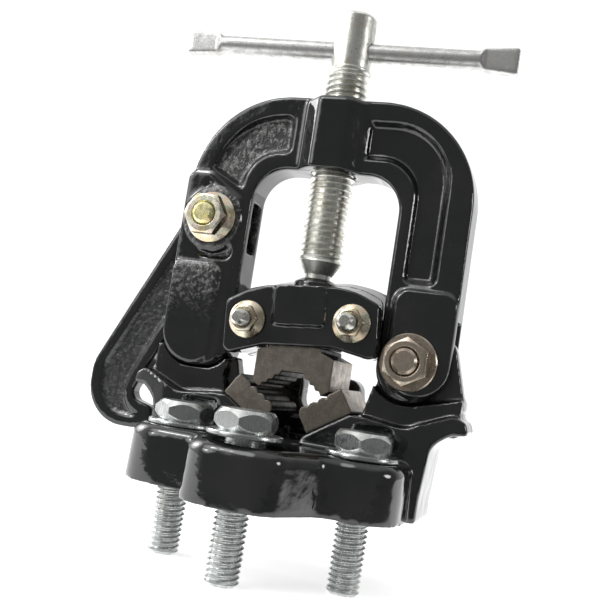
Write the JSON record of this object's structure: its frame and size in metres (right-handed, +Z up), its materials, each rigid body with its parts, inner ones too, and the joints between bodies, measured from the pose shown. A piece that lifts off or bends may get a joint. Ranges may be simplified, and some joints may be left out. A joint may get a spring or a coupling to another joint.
{
  "type": "pipe vise",
  "caption": "Bench pipe vise with a hinged yoke, swing-out latch hook, screw-driven upper jaw in a guided carrier and a V of serrated lower jaws",
  "frame": {"origin": "middle of the foot's underside, on the line of the clamping screw", "axes": "+X from the latch to the hinge, -Y towards the user, +Z up along the screw"},
  "size_m": [0.1492, 0.091, 0.2056],
  "materials": {
    "cast_black": "black gloss enamel over a pebbled casting",
    "jaw_steel": "hardened jaw, brownish grey blasted faces, ground ends",
    "bright_zinc": "bright zinc plate with brushed dark flats",
    "yellow_zinc": "yellow chromate zinc with an iridescent tint",
    "dull_zinc": "darker zinc with brown tint",
    "screw_steel": "machined steel with warm stains and specks",
    "bar_steel": "satin grey zinc"
  },
  "bodies": {
    "base": {"base_casting": "cast_black", "left_lower_jaw": "jaw_steel", "right_lower_jaw": "jaw_steel", "lower_jaw_screws": "dull_zinc", "mounting_bolts": "bright_zinc", "mounting_washers": "bright_zinc", "pivot_bolt": "dull_zinc", "pivot_washers": "dull_zinc", "pivot_nut": "dull_zinc"},
    "yoke": {"yoke_casting": "cast_black", "latch_bolt": "yellow_zinc", "latch_nut": "yellow_zinc"},
    "latch": {"latch_hook": "cast_black"},
    "carrier": {"carrier_front_half": "cast_black", "carrier_rear_half": "cast_black", "carrier_bolts": "yellow_zinc", "carrier_nuts": "yellow_zinc", "upper_jaw": "jaw_steel"},
    "screw": {"clamp_screw": "screw_steel"},
    "bar": {"tommy_bar": "bar_steel"}
  },
  "joints": [
    {"name": "yoke_hinge", "type": "hinge", "parent": "base", "child": "yoke", "pos_m": [0.0402, 0, 0.0533], "axis": [0, 1, 0], "range_deg": [0, 75]},
    {"name": "latch_swing", "type": "hinge", "parent": "yoke", "child": "latch", "pos_m": [-0.0423, 0, 0.0971], "axis": [0, 1, 0], "range_deg": [0, 90]},
    {"name": "carrier_slide", "type": "slide", "parent": "yoke", "child": "carrier", "axis": [0, 0, 1], "range_m": [0, 0.034]},
    {"name": "screw_turn", "type": "hinge", "parent": "carrier", "child": "screw", "pos_m": [0, 0, 0.12], "axis": [0, 0, 1], "continuous": true},
    {"name": "bar_slide", "type": "slide", "parent": "screw", "child": "bar", "axis": [0.9979, 0.0645, 0], "range_m": [-0.04, 0.04]}
  ],
  "couplings": [
    {"joint": "latch_swing", "follows": "yoke_hinge", "ratio": 1.2},
    {"joint": "screw_turn", "follows": "carrier_slide", "rad_per_m": 2731.8}
  ]
}
